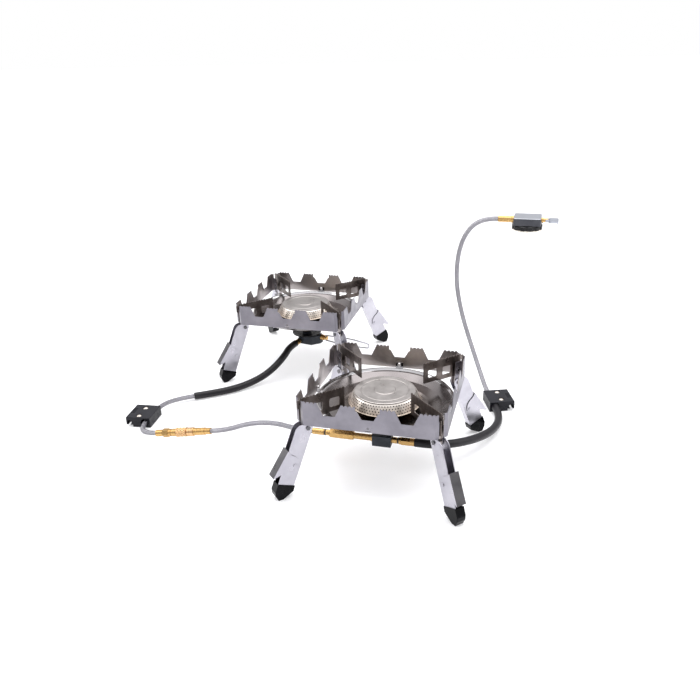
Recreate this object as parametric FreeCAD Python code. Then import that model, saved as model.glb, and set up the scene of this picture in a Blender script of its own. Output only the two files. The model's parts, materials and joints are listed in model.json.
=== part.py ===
import FreeCAD, Part
import math
import os

from FreeCAD import Vector

os.makedirs("parts", exist_ok=True)

# Twin-burner remote-canister stove. Millimetres, +Z up, the ground at Z = 0.
# X runs along the front panels, Y to the back. Two equal burner units stand on
# four folding legs each; a hose with a quick coupling joins them, and a second
# hose ends in the canister valve.

# ---------------------------------------------------------------- driving dimensions
UNIT_CENTRES = {"front": (89.5, -126.5), "rear": (-89.5, 126.5)}

SIDE = 160.0              # across the outer faces of two opposite panels
SHEET = 0.8               # panel, leg and lever steel
TOP_Z = 112.0             # tips of the crown, where a pot rests
NOTCH_Z = 97.8            # bottom of the crown's notches
PANEL_Z = 84.0            # bottom edge of the panels
TOOTH = 15.4              # width of one crown tooth at its top
SLOPE = 6.6               # run of a tooth's sloping side
NOTCH = 12.3              # width of a notch at its bottom
STEP_DROP = 5.0           # upright part of the middle notch's sides
STEP_RUN = 1.8            # shelf below it
SERRATION = 3.85          # pitch of the fine teeth
SERRATION_DEPTH = 1.6
SERRATION_CUT = 0.49      # share of the pitch that a V cut takes
FLANGE_OUT = 3.6          # half the distance over a corner's two return flanges
FLANGE_IN_R = 94.4        # how far inwards the return flanges reach
FLANGE_TOP_Z = 104.0

LEG_WIDTH = 9.5           # over the two side plates
LEG_IN = -5.5             # inner edge, measured from the pivot across the leg
LEG_OUT = 13.8            # outer edge
LEG_END = 73.5            # length of the steel below the pivot
FOOT_WALL = 0.75
SPLAY = 22.5              # degrees that an open leg leans outwards
PIVOT_R = 99.0            # the leg's pivot, from the unit's axis
PIVOT_Z = 77.5
PIN_R = 1.5
RUN_GAP = 0.05            # radial clearance of a turning fit
LEVER_PIN = (1.7, 43.7)   # across and along the leg, from the leg's pivot
LEVER_PIN_R = 1.2
LEVER_GAP = 0.2
LEVER_CLOSED = {("front", 2): 10.0}   # this lever stands nearly shut, the rest are open

PAN_R = 77.6
PAN_Z = 84.4
PAN_FLOOR_Z = 71.5
PAN_SHEET = 0.6
TAB_RIVET_Z = 88.6
TAB_RIVET_R = 1.2
FIN = 1.2                 # thickness of the pot supports
FIN_IN_R = 52.0
FIN_RIVET = (99.0, 94.5)
FIN_RIVET_R = 1.2

CAP_R = 34.4
CAP_Z = 93.9
CUP_TOP_R = 34.6
CUP_FOOT_R = 41.0
CUP_TOP_Z = 92.6
CUP_FOOT_Z = 80.6
CUP_SHEET = 0.7
PORT_ROWS = 4
PORTS = 72
PORT_R = 0.68
PORT_SPAN = 7.8           # height from the lowest row of ports to the highest
TUBE_R = 8.0
SHIELD_R = 21.5
SHIELD_Z = 44.2

GAS_Z = 29.8              # axis of the front unit's gas line
REAR_YAW = -14.0          # the rear valve block is turned about the unit's axis
REAR_BLOCK_Z = (31.0, 43.8)
INLET_X = -5.3            # the hose nipple, across the rear block
INLET_Z = 36.0
SPINDLE_Y = 4.3
SPINDLE_Z = 40.4
SPINDLE_R = 2.6
HANDLE_PIN_X = 30.7
HANDLE_LENGTH = 72.5
HANDLE_WIDTH = 10.8
HANDLE_END_WIDTH = 7.0
WIRE_R = 1.0

HOSE_R = 3.15
SLEEVE_IN_R = 3.3
SLEEVE_R = 4.9

CLIP_SIZE = (32.5, 35.5, 13.5)
CLIP_CHANNEL_X = 8.8
CLIP_CHANNEL_R = 5.3
CLIP_SCREWS_Y = (-11.0, 9.5)
LEFT_CLIP = (-241.2, -100.6, 6.0)     # centre and turn in degrees
RIGHT_CLIP = (204.9, 40.8, 200.0)

VALVE_CENTRE = (223.4, 117.0)
VALVE_SIZE = (34.4, 32.0, 9.4)
VALVE_TOP_Z = 236.3
VALVE_AXIS_Z = 231.6
THREAD_R = 5.56
COLLAR_R = 19.5
SWIVEL_R = 8.0            # the collar's journal in the valve body
SWIVEL_HEIGHT = 3.0
STEM_R = 2.6
KNOB_PIVOT_X = 24.0       # from the valve's centre

COUPLING_START = Vector(-123.8, -141.2, 22.0)
COUPLING_END = Vector(-197.2, -143.8, 11.0)

# Hose routes: corners of the centre line, each later rounded by an arc
FEED_ROUTE = [
    (123.3, -126.5, 29.8), (146.0, -126.4, 29.2), (168.0, -110.5, 25.0), (188.0, -83.0, 17.5),
    (203.5, -50.0, 10.5), (210.3, -18.0, 7.2), (206.8, 9.6, 6.75), (186.4, 66.0, 6.75),
    (173.5, 86.5, 29.0), (158.0, 102.5, 62.0), (143.5, 112.0, 100.0), (134.6, 116.0, 140.0),
    (135.0, 117.0, 180.0), (144.5, 117.0, 212.0), (165.0, 117.0, 231.4), (186.3, 117.0, 231.6),
]
LINK_FRONT_ROUTE = [
    (1.9, -126.5, 29.8), (-20.0, -126.5, 30.0), (-48.0, -123.6, 33.2), (-78.0, -129.5, 32.0),
    (-104.0, -140.4, 25.0), (-123.8, -141.2, 22.0),
]
LINK_REAR_ROUTE = [
    (-189.3, -143.5, 12.2), (-213.0, -144.4, 8.6), (-229.5, -127.8, 6.75), (-235.4, -71.6, 6.75),
    (-221.0, -45.0, 5.8), (-184.0, -20.5, 5.2), (-156.0, 1.0, 5.0), (-134.0, 29.0, 7.5),
    (-116.5, 46.0, 18.0), (-105.5, 69.5, 30.5), (-104.5, 88.3, 36.0), (-100.455, 104.475, 36.0),
]
FEED_SLEEVE_RUN = 6       # the sleeve ends at the middle of this run, inside the hose clip
LINK_SLEEVE_RUN = 4       # the sleeve starts at the middle of this run


# ---------------------------------------------------------------- helpers
def box(x0, x1, y0, y1, z0, z1):
    return Part.makeBox(x1 - x0, y1 - y0, z1 - z0, Vector(x0, y0, z0))


def rod(radius, start, end):
    start = Vector(*start)
    end = Vector(*end)
    axis = end - start
    return Part.makeCylinder(radius, axis.Length, start, axis)


def ring(outer, inner, start, end):
    return rod(outer, start, end).cut(rod(inner, start, end))


def upright_plate(outline, y0, y1):
    """A flat plate from its outline in X and Z. An outline item of four numbers is an
    arc: a point on it, then its end."""
    last = Vector(outline[0][0], y0, outline[0][1])
    first = last
    edges = []
    for item in outline[1:]:
        end = Vector(item[-2], y0, item[-1])
        if len(item) == 4:
            edges.append(Part.Arc(last, Vector(item[0], y0, item[1]), end).toShape())
        else:
            edges.append(Part.LineSegment(last, end).toShape())
        last = end
    if (last - first).Length > 1e-6:
        edges.append(Part.LineSegment(last, first).toShape())
    return Part.Face(Part.Wire(edges)).extrude(Vector(0, y1 - y0, 0))


def turned(profile):
    """A solid of revolution about Z from points of radius and height."""
    points = [Vector(r, 0, z) for r, z in profile]
    face = Part.Face(Part.makePolygon(points + [points[0]]))
    return face.revolve(Vector(0, 0, 0), Vector(0, 0, 1), 360)


def rounded_window(x0, x1, z0, z1, radius, y):
    window = box(x0, x1, -y, y, z0, z1)
    upright = [e for e in window.Edges if abs(e.tangentAt(e.FirstParameter).y) > 0.9]
    return window.makeFillet(radius, upright)


def serrated_edge(start, end, z):
    """Points of a fine-toothed edge between two places: flat tips with V cuts between."""
    count = round((end - start) / SERRATION)
    cut = SERRATION_CUT * (end - start) / count
    tip = (end - start - (count - 1) * cut) / count
    points = []
    for i in range(count):
        tooth = start + i * (tip + cut)
        points.append((tooth, z))
        points.append((tooth + tip, z))
        if i < count - 1:
            points.append((tooth + tip + cut / 2, z - SERRATION_DEPTH))
    return points


def at_unit(shape, unit, turn=0.0):
    """A copy turned about the unit's axis and moved to the unit's place."""
    copy = shape.copy()
    copy.rotate(Vector(0, 0, 0), Vector(0, 0, 1), turn)
    x, y = UNIT_CENTRES[unit]
    copy.translate(Vector(x, y, 0))
    return copy


def export(node, *solids):
    shape = solids[0] if len(solids) == 1 else Part.makeCompound(list(solids))
    bad = [s for s in shape.Solids if not s.isValid()]
    print(f"{node:26s} solids {len(shape.Solids):3d} volume {shape.Volume:10.1f} bad {len(bad)}")
    shape.exportStep(f"parts/{node}.step")


# ---------------------------------------------------------------- windscreen and pot supports
def windscreen_panel():
    """The front panel: crown, 45-degree corner strips and return flanges with the leg ears."""
    half = SIDE / 2
    flat = (4 * TOOTH + 6 * SLOPE + 3 * NOTCH) / 2
    outline = [(-flat, PANEL_Z)]
    u = -flat
    for tooth in range(4):
        outline += serrated_edge(u, u + TOOTH, TOP_Z)
        u += TOOTH
        if tooth == 3:
            break
        middle = tooth == 1
        if middle:
            outline += [(u, TOP_Z - STEP_DROP), (u + STEP_RUN, TOP_Z - STEP_DROP - 0.5)]
        outline += [(u + SLOPE, NOTCH_Z), (u + SLOPE + NOTCH, NOTCH_Z)]
        u += 2 * SLOPE + NOTCH
        if middle:
            outline += [(u - STEP_RUN, TOP_Z - STEP_DROP - 0.5), (u, TOP_Z - STEP_DROP)]
    outline.append((flat, PANEL_Z))
    panel = upright_plate(outline, -half, -half + SHEET)

    corner_r = (flat + half) / math.sqrt(2)
    strip_half = (half - flat) / math.sqrt(2)
    inner = FLANGE_OUT - SHEET
    for side in (-1, 1):
        strip = box(corner_r - SHEET, corner_r, FLANGE_OUT - 0.1, strip_half, PANEL_Z, TOP_Z - 1.0)
        flange = box(FLANGE_IN_R, corner_r, inner, FLANGE_OUT, PANEL_Z, FLANGE_TOP_Z)
        neck = box(PIVOT_R - 4.7, PIVOT_R + 4.7, inner, FLANGE_OUT, PIVOT_Z, PANEL_Z + 0.5)
        eye = rod(4.7, (PIVOT_R, inner, PIVOT_Z), (PIVOT_R, FLANGE_OUT, PIVOT_Z))
        ear = strip.fuse([flange, neck, eye])
        ear = ear.cut(rod(PIN_R, (PIVOT_R, 0, PIVOT_Z), (PIVOT_R, 9, PIVOT_Z)))
        ear = ear.cut(rod(FIN_RIVET_R, (FIN_RIVET[0], 0, FIN_RIVET[1]), (FIN_RIVET[0], 9, FIN_RIVET[1])))
        if side < 0:
            ear.rotate(Vector(0, 0, 0), Vector(0, 0, 1), -135)
        else:
            ear = ear.mirror(Vector(0, 0, 0), Vector(0, 1, 0))
            ear.rotate(Vector(0, 0, 0), Vector(0, 0, 1), -45)
        panel = panel.fuse(ear)
    panel = panel.cut(rod(TAB_RIVET_R, (0, -half - 1, TAB_RIVET_Z), (0, -half + 2, TAB_RIVET_Z)))
    slot = box(-3.0, 3.0, -half - 1, -half + 2, PANEL_Z + 1.2, PANEL_Z + 2.4)
    return panel.cut(slot).removeSplitter()


def pot_support():
    """One fin along +X: toothed top, two windows and a hook through the corner groove."""
    tail_r = 104.6
    outline = [(FIN_IN_R, 86.8)]
    outline += serrated_edge(FIN_IN_R, tail_r, TOP_Z)
    outline += [(tail_r, 110.0), (108.2, 110.0), (108.2, 100.5), (106.4, 100.5), (106.4, 104.5)]
    outline += [(tail_r, 104.5), (tail_r, 85.6), (74.0, 85.6), (70.5, 86.8)]
    fin = upright_plate(outline, -FIN / 2, FIN / 2)
    fin = fin.cut(rounded_window(58.0, 70.5, 92.0, 102.4, 1.8, 2))
    fin = fin.cut(rounded_window(78.5, 90.0, 91.0, 101.4, 1.8, 2))
    spacer = FLANGE_OUT - SHEET - 0.05
    x, z = FIN_RIVET
    fin = fin.fuse(rod(2.8, (x, -spacer, z), (x, spacer, z)))
    return fin.cut(rod(FIN_RIVET_R, (x, -9, z), (x, 9, z)))


def drip_pan():
    """Bowl under the burner, hung from a tab at the middle of each panel."""
    under = [(8.2, PAN_FLOOR_Z), (49.5, PAN_FLOOR_Z), (51.5, 73.2), (64.5, 74.6), (72.6, 80.8),
             (74.8, 81.4), (76.2, 83.6), (PAN_R, PAN_Z - 0.5)]
    upper = [(PAN_R, PAN_Z), (75.6, PAN_Z), (74.4, 82.2), (72.2, 81.6), (64.1, 75.4),
             (51.2, 73.9), (49.2, PAN_FLOOR_Z + PAN_SHEET), (8.2, PAN_FLOOR_Z + PAN_SHEET)]
    pan = turned(under + upper)
    wall = SIDE / 2 - SHEET
    for quarter in range(4):
        tab = box(-4.5, 4.5, -wall + 0.1, -75.4, PAN_Z - 0.5, PAN_Z)
        upright = box(-4.5, 4.5, -wall + 0.1, -wall + 0.1 + PAN_SHEET, PAN_Z - 0.5, 91.2)
        tab = tab.fuse(upright)
        tab = tab.cut(rod(TAB_RIVET_R, (0, -SIDE / 2, TAB_RIVET_Z), (0, -70, TAB_RIVET_Z)))
        tab.rotate(Vector(0, 0, 0), Vector(0, 0, 1), 90 * quarter)
        pan = pan.fuse(tab)
    return pan


# ---------------------------------------------------------------- burner
def burner_cup():
    """Perforated flame wall, widening downwards to a rolled lip, on a flat floor."""
    wall = CUP_SHEET
    cup = turned([(8.1, CUP_FOOT_Z), (CUP_FOOT_R - 0.3, CUP_FOOT_Z), (CUP_FOOT_R + 0.3, CUP_FOOT_Z + 0.4),
                  (CUP_FOOT_R + 0.3, CUP_FOOT_Z + 0.9), (CUP_FOOT_R - 0.2, CUP_FOOT_Z + 1.3),
                  (CUP_TOP_R + 1.2, CUP_TOP_Z - 1.4), (CUP_TOP_R, CUP_TOP_Z), (CUP_TOP_R - wall, CUP_TOP_Z),
                  (CUP_FOOT_R - 1.4, CUP_FOOT_Z + wall), (8.1, CUP_FOOT_Z + wall)])
    slant = math.atan2(CUP_FOOT_R - CUP_TOP_R - 1.4, CUP_TOP_Z - CUP_FOOT_Z - 2.7)
    ports = []
    for row in range(PORT_ROWS):
        share = row / (PORT_ROWS - 1)
        radius = CUP_FOOT_R - 0.9 - share * PORT_SPAN * math.tan(slant)
        z = CUP_FOOT_Z + 2.5 + share * PORT_SPAN
        for i in range(PORTS):
            angle = 2 * math.pi * (i + 0.5 * (row % 2)) / PORTS
            outwards = Vector(math.cos(angle), math.sin(angle), math.tan(slant))
            middle = Vector(radius * math.cos(angle), radius * math.sin(angle), z)
            ports.append(Part.makeCylinder(PORT_R, 4, middle - outwards.normalize() * 2, outwards))
    return cup.cut(ports)


def burner_cap():
    """Disc with a rounded rim, a ring groove and a raised middle."""
    top = CAP_Z
    return turned([(0, CUP_TOP_Z + 0.05), (CAP_R - 0.5, CUP_TOP_Z + 0.05), (CAP_R, CUP_TOP_Z + 0.4),
                   (CAP_R - 0.2, top - 0.3), (CAP_R - 1.0, top), (27.2, top), (26.8, top - 0.4),
                   (26.2, top - 0.4), (25.8, top - 0.1), (12.2, top - 0.1), (11.6, top + 0.35), (0, top + 0.35)])


def mixer_tube():
    """Tube that feeds the cup, with the burner's bell seated on the pan."""
    tube = ring(TUBE_R, TUBE_R - 1.2, (0, 0, 50.0), (0, 0, 83.0))
    bell = turned([(8.0, 72.2), (24.0, 72.2), (33.0, 79.4), (33.0, 80.5), (32.0, 80.5),
                   (23.6, 73.1), (8.0, 73.1)])
    return tube.fuse(bell)


def heat_shield():
    return turned([(6.8, SHIELD_Z), (14.0, SHIELD_Z), (SHIELD_R, SHIELD_Z + 2.2),
                   (SHIELD_R, SHIELD_Z + 3.4), (13.8, SHIELD_Z + 1.2), (6.8, SHIELD_Z + 1.2)])


def jet_post(from_z):
    """Neck from the valve block up through the shield into the mixer tube."""
    post = rod(6.6, (0, 0, from_z), (0, 0, SHIELD_Z + 3.8))
    return post.fuse(rod(3.0, (0, 0, SHIELD_Z + 3), (0, 0, 54.0)))


def rounded_block(x0, x1, y0, y1, z0, z1, radius):
    block = box(x0, x1, y0, y1, z0, z1)
    upright = [e for e in block.Edges if abs(e.tangentAt(e.FirstParameter).z) > 0.9]
    return block.makeFillet(radius, upright)


def front_valve_block():
    block = rounded_block(-14.6, 7.5, -8.0, 8.0, GAS_Z - 6.0, GAS_Z + 6.8, 1.2)
    return block.fuse(jet_post(GAS_Z + 6.0))


def rear_valve_block():
    """Block with one slanting side, turned about the unit's axis and bored for the spindle."""
    z0, z1 = REAR_BLOCK_Z
    plan = [(-8.5, -12.0), (13.6, -10.5), (22.5, 1.0), (22.5, 9.0), (12.0, 12.0), (-8.5, 12.0)]
    corners = [Vector(x, y, z0) for x, y in plan]
    block = Part.Face(Part.makePolygon(corners + [corners[0]])).extrude(Vector(0, 0, z1 - z0))
    upright = [e for e in block.Edges if abs(e.tangentAt(e.FirstParameter).z) > 0.9]
    block = block.makeFillet(1.2, upright)
    block = block.fuse([rod(4.6, (INLET_X, -11, INLET_Z), (INLET_X, -13.5, INLET_Z)), jet_post(z1 - 2.0)])
    block = block.cut(rod(SPINDLE_R + RUN_GAP, (11.5, SPINDLE_Y, SPINDLE_Z), (24, SPINDLE_Y, SPINDLE_Z)))
    block.rotate(Vector(0, 0, 0), Vector(0, 0, 1), REAR_YAW)
    return block


# ---------------------------------------------------------------- legs
def leg_steel():
    """Channel open on its outer side, in the leg's own frame: pivot at the origin, Z up the
    leg, X outwards."""
    half = LEG_WIDTH / 2
    outline = [(LEG_IN, -LEG_END), (LEG_IN, 0), (-3.89, 3.89, 0, -LEG_IN), (7.5, 3.0),
               (12.0, -0.6, LEG_OUT, -6.0), (LEG_OUT, -LEG_END + 2.0)]
    leg = upright_plate(outline, -half, half)
    inside = half - SHEET
    leg = leg.cut(box(LEG_IN + SHEET, LEG_OUT + 1, -inside, inside, -LEG_END - 1, 7))
    leg = leg.cut(box(LEG_IN - 1, LEG_IN + 2, -inside, inside, -11.0, 7))
    leg = leg.cut(rod(PIN_R + RUN_GAP, (0, -9, 0), (0, 9, 0)))
    x, s = LEVER_PIN
    return leg.cut(rod(LEVER_PIN_R + RUN_GAP, (x, -9, -s), (x, 9, -s)))


def leg_foot(leg):
    """Moulded cap pushed on the leg's end, with its sole on the ground when the leg is open."""
    lean = math.radians(SPLAY)

    def ground(x):
        return -(PIVOT_Z + x * math.sin(lean)) / math.cos(lean)

    outline = [(-6.3, -67.8), (-6.7, -74.4), (2.0, ground(2.0)), (7.2, ground(7.2)), (12.6, -82.0),
               (14.4, -78.0), (14.6, -67.8)]
    half = LEG_WIDTH / 2 + FOOT_WALL
    cap = upright_plate(outline, -half, half)
    rims = [e for e in cap.Edges if abs(e.tangentAt(e.FirstParameter).y) < 0.1 and e.BoundBox.ZMax < -74.0]
    cap = cap.makeFillet(0.6, rims)
    return cap.cut(leg)


def leg_lever():
    """U-shaped lever outside the leg, swung fully open, with the rivet it turns on."""
    x, s = LEVER_PIN
    near = LEG_WIDTH / 2 + LEVER_GAP
    far = near + SHEET
    top = (14.6, -28.5)
    tip = (21.8, -61.5)
    outline = [top, (11.0, -31.5, 6.5, -33.0), (1.5, -35.6, x - 4.2, -s), (x - 1.2, -s - 4.2, x + 3.0, -s - 3.8), tip]
    wings = [upright_plate(outline, near, far), upright_plate(outline, -far, -near)]
    along = Vector(tip[0] - top[0], 0, tip[1] - top[1]).normalize()
    out = Vector(-along.z, 0, along.x) * SHEET
    web = [top, tip, (tip[0] + out.x, tip[1] + out.z), (top[0] + out.x, top[1] + out.z)]
    lever = wings[0].fuse([wings[1], upright_plate(web, -far, far)])
    lever = lever.fuse(rod(LEVER_PIN_R, (x, -far, -s), (x, far, -s)))
    for side in (-1, 1):
        lever = lever.fuse(rod(2.1, (x, side * (far - 0.1), -s), (x, side * (far + 0.6), -s)))
    return lever


def open_leg(shape):
    copy = shape.copy()
    copy.rotate(Vector(0, 0, 0), Vector(0, 1, 0), -SPLAY)
    copy.translate(Vector(PIVOT_R, 0, PIVOT_Z))
    return copy


# ---------------------------------------------------------------- fasteners
def headed_pin(radius, head, half_length, head_height, x, z):
    pin = rod(radius, (x, -half_length, z), (x, half_length, z))
    for side in (-1, 1):
        start = (x, side * (half_length - head_height), z)
        pin = pin.fuse(rod(head, start, (x, side * half_length, z)))
    return pin


def unit_fasteners():
    pins = []
    pan_rivet = rod(TAB_RIVET_R, (0, -SIDE / 2, TAB_RIVET_Z), (0, -76, TAB_RIVET_Z))
    dome = Part.makeSphere(2.5, Vector(0, -SIDE / 2 + SHEET + PAN_SHEET - 0.3, TAB_RIVET_Z))
    dome = dome.common(box(-3, 3, -SIDE / 2 + SHEET + PAN_SHEET + 0.12, -74, TAB_RIVET_Z - 3, TAB_RIVET_Z + 3))
    pan_rivet = pan_rivet.common(box(-2, 2, -SIDE / 2, -77.5, 80, 95)).fuse(dome)
    pivot = headed_pin(PIN_R, 2.5, LEG_WIDTH / 2 + 1.1, 0.8, PIVOT_R, PIVOT_Z)
    fin = headed_pin(FIN_RIVET_R, 2.2, FLANGE_OUT + 0.8, 0.75, *FIN_RIVET)
    for quarter in range(4):
        for shape, turn in ((pan_rivet, 0), (pivot, 45), (fin, 45)):
            pins.append((shape, turn + 90 * quarter))
    return pins


# ---------------------------------------------------------------- gas line
def stepped_fitting(steps, z):
    """Stepped round fittings along X: each step is its two ends and its radius."""
    parts = [rod(radius, (x0, 0, z), (x1, 0, z)) for x0, x1, radius in steps]
    return parts[0].fuse(parts[1:]) if len(parts) > 1 else parts[0]


def hexagon(across, x0, x1, z):
    radius = across / math.sqrt(3)
    points = []
    for i in range(7):
        angle = math.radians(60 * i)
        points.append(Vector(x0, radius * math.sin(angle), z + radius * math.cos(angle)))
    return Part.Face(Part.makePolygon(points)).extrude(Vector(x1 - x0, 0, 0))


def gas_fittings():
    left = stepped_fitting([(-87.6, -73.8, 3.8), (-73.9, -70.7, 3.0), (-70.8, -66.4, 3.5), (-66.5, -37.4, 4.8),
                            (-37.5, -16.4, 3.7), (-16.5, -14.6, 4.4)], GAS_Z)
    left = left.fuse(hexagon(10.2, -65.2, -38.6, GAS_Z))
    right = stepped_fitting([(7.5, 13.4, 3.7), (13.3, 16.2, 3.1), (16.1, 19.0, 4.2), (28.9, 33.8, 4.5)], GAS_Z)
    right = right.fuse(hexagon(8.8, 18.9, 29.0, GAS_Z))
    nipple = stepped_fitting([(13.5, 16.5, 3.6), (16.4, 24.0, 4.2)], INLET_Z)
    nipple.rotate(Vector(0, 0, 0), Vector(0, 0, 1), -90)
    nipple.translate(Vector(INLET_X, 0, 0))
    nipple.rotate(Vector(0, 0, 0), Vector(0, 0, 1), REAR_YAW)
    return at_unit(left, "front"), at_unit(right, "front"), at_unit(nipple, "rear")


def at_spindle(shape):
    """A shape built around the X axis, moved to the spindle's axis on the rear unit."""
    copy = shape.copy()
    copy.translate(Vector(0, SPINDLE_Y, SPINDLE_Z))
    return at_unit(copy, "rear", REAR_YAW)


def rear_spindle():
    spindle = stepped_fitting([(12.0, 23.0, SPINDLE_R), (22.9, 28.2, 4.2), (28.1, 33.0, 2.9)], 0)
    return at_spindle(spindle.cut(rod(WIRE_R + RUN_GAP, (HANDLE_PIN_X, 0, -5), (HANDLE_PIN_X, 0, 5))))


def rear_handle():
    """Sprung wire loop, standing upright, whose two ends sit in the spindle's cross hole."""
    x0 = HANDLE_PIN_X
    x1 = x0 + HANDLE_LENGTH
    half = HANDLE_WIDTH / 2
    end_half = HANDLE_END_WIDTH / 2
    bend = 2.5
    parts = [rod(WIRE_R, (x1, 0, bend - end_half), (x1, 0, end_half - bend))]
    for side in (1, -1):
        arm = [(x0, 0.3), (x0, 3.9), (x0 + 8, 4.3), (x0 + 20, half), (x1 - 26, half), (x1 - bend, end_half)]
        for a, b in zip(arm, arm[1:]):
            parts.append(rod(WIRE_R, (a[0], 0, a[1] * side), (b[0], 0, b[1] * side)))
            parts.append(Part.makeSphere(WIRE_R, Vector(b[0], 0, b[1] * side)))
        turn = Part.makeTorus(bend, WIRE_R, Vector(x1 - bend, 0, (end_half - bend) * side), Vector(0, 1, 0))
        z0, z1 = sorted(((end_half - bend) * side, (end_half + 2) * side))
        parts.append(turn.common(box(x1 - bend, x1 + 2, -2, 2, z0, z1)))
    return at_spindle(parts[0].fuse(parts[1:]))


def coupling_parts():
    """Quick coupling along X from 0, on the stove's side, to its whole length."""
    length = (COUPLING_END - COUPLING_START).Length
    socket = stepped_fitting([(0, 7.5, 4.1), (7.4, 43.0, 4.6)], 0)
    socket = socket.cut(rod(3.1, (26, 0, 0), (44, 0, 0)))
    sleeve = ring(5.9, 4.75, (22.5, 0, 0), (46.0, 0, 0))
    for x in (24.5, 29.0, 33.5, 38.0, 42.5):
        sleeve = sleeve.cut(ring(7, 5.5, (x, 0, 0), (x + 0.8, 0, 0)))
    plug = stepped_fitting([(28, 47, 3.0), (46.6, 51.5, 4.9), (51.4, 54.0, 3.9), (53.9, 57.0, 4.6),
                         (64.4, length, 4.3)], 0)
    plug = plug.fuse(hexagon(9.6, 56.9, 64.5, 0))
    plug = plug.cut(rod(HOSE_R + 0.05, (length - 8, 0, 0), (length + 1, 0, 0)))
    placed = []
    turn = FreeCAD.Rotation(Vector(1, 0, 0), COUPLING_END - COUPLING_START)
    for shape in (socket, sleeve, plug):
        shape.Placement = FreeCAD.Placement(COUPLING_START, turn)
        placed.append(shape)
    return placed


# ---------------------------------------------------------------- hose clips and canister valve
def hose_clip():
    """Two halves around the hose, with an open hook on the other side, and their screws."""
    w, d, h = (CLIP_SIZE[0] / 2, CLIP_SIZE[1] / 2, CLIP_SIZE[2])
    mid = h / 2
    channel = rod(CLIP_CHANNEL_R, (CLIP_CHANNEL_X, -d - 1, mid), (CLIP_CHANNEL_X, d + 1, mid))
    base = box(-7.5, w, -d, d, 0, mid - 0.1)
    cover = box(-w, w, -d, d, mid + 0.1, h).fuse(box(-w, -8.0, -d, d, 3.0, mid + 0.2))
    edges = [e for e in cover.Edges if e.BoundBox.ZMin > h - 0.01]
    cover = cover.makeFillet(0.7, edges)
    hook = rod(3.0, (-12.2, -d - 1, 6.4), (-12.2, d + 1, 6.4))
    mouth = box(-13.8, -10.6, -d - 1, d + 1, 2, 6.4)
    cover = cover.cut([channel, hook, mouth])
    for i in range(5):
        y = -5.0 + i * 2.6
        cover = cover.cut(box(-w - 1, -9.5, y, y + 1.1, h - 0.7, h + 1))
    screws = []
    for y in CLIP_SCREWS_Y:
        cover = cover.cut([rod(3.9, (-0.6, y, h - 0.9), (-0.6, y, h + 1)), rod(1.6, (-0.6, y, 0), (-0.6, y, h))])
        base = base.cut(rod(1.6, (-0.6, y, 1.5), (-0.6, y, h)))
        head = Part.makeSphere(4.6, Vector(-0.6, y, h - 3.85)).common(box(-5, 5, y - 5, y + 5, h - 0.88, h + 2))
        screws.append(rod(1.5, (-0.6, y, 1.8), (-0.6, y, h - 0.5)).fuse(head))
    return base.cut(channel), cover, screws


def at_clip(shape, place):
    copy = shape.copy()
    copy.rotate(Vector(0, 0, 0), Vector(0, 0, 1), place[2])
    copy.translate(Vector(place[0], place[1], 0))
    return copy


def valve_body():
    w, d, h = VALVE_SIZE
    z1 = VALVE_TOP_Z
    z0 = z1 - h
    body = rounded_block(-w / 2, w / 2, -d / 2, d / 2, z0, z1, 2.5)
    body = body.makeFillet(0.8, [e for e in body.Edges if e.BoundBox.ZMin > z1 - 0.01])
    body = body.cut(rod(SWIVEL_R + 0.06, (0, 0, z0 - 1), (0, 0, z0 + SWIVEL_HEIGHT + 0.2)))
    body = body.cut(rod(STEM_R + RUN_GAP, (12.0, 0, VALVE_AXIS_Z), (w, 0, VALVE_AXIS_Z)))
    ferrule = stepped_fitting([(-w / 2 - 3.2, -w / 2, 4.6), (-37.1, -w / 2 - 3.1, 4.0)], VALVE_AXIS_Z)
    return body, ferrule


def canister_collar():
    """Screw collar that swivels in the valve body, with scalloped grip and the canister thread."""
    z0 = VALVE_TOP_Z - VALVE_SIZE[2]
    top = z0 - 0.3
    bottom = top - 7.6
    collar = turned([(0, top), (COLLAR_R - 1.2, top), (COLLAR_R, top - 1.2), (COLLAR_R, bottom + 1.0),
                     (COLLAR_R - 0.8, bottom), (15.8, bottom), (15.8, bottom + 4.4), (0, bottom + 4.4)])
    collar = collar.fuse(rod(SWIVEL_R, (0, 0, top - 0.5), (0, 0, z0 + SWIVEL_HEIGHT)))
    collar = collar.cut(rod(THREAD_R, (0, 0, bottom), (0, 0, z0 + SWIVEL_HEIGHT - 0.8)))
    cuts = []
    for i in range(12):
        angle = 2 * math.pi * i / 12
        x = (COLLAR_R + 2.2) * math.cos(angle)
        y = (COLLAR_R + 2.2) * math.sin(angle)
        cuts.append(rod(3.6, (x, y, bottom - 1), (x, y, top + 1)))
    return collar.cut(cuts)


def valve_stem():
    edge = VALVE_SIZE[0] / 2
    stem = stepped_fitting([(12.5, edge + 1.0, STEM_R), (edge + 0.4, edge + 2.6, 3.6), (edge + 2.5, 25.6, STEM_R)],
                        VALVE_AXIS_Z)
    return stem.cut(rod(0.8 + RUN_GAP, (KNOB_PIVOT_X, -5, VALVE_AXIS_Z), (KNOB_PIVOT_X, 5, VALVE_AXIS_Z)))


def valve_knob():
    """Folding plate on two ears, with the pin that it turns on."""
    z = VALVE_AXIS_Z
    x = KNOB_PIVOT_X
    plate = rounded_block(x + 3.0, x + 14.6, -9.5, 9.5, z - 1.1, z + 1.1, 2.0)
    lip = box(x + 13.0, x + 14.6, -7.5, 7.5, z - 2.4, z)
    knob = plate.fuse(lip)
    for side in (-1, 1):
        y0, y1 = sorted((side * 2.95, side * 4.3))
        knob = knob.fuse([box(x, x + 4, y0, y1, z - 1.8, z + 1.8), rod(1.8, (x, y0, z), (x, y1, z))])
    return knob.fuse(rod(0.8, (x, -4.3, z), (x, 4.3, z)))


def at_valve(shape):
    copy = shape.copy()
    copy.translate(Vector(VALVE_CENTRE[0], VALVE_CENTRE[1], 0))
    return copy


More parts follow.
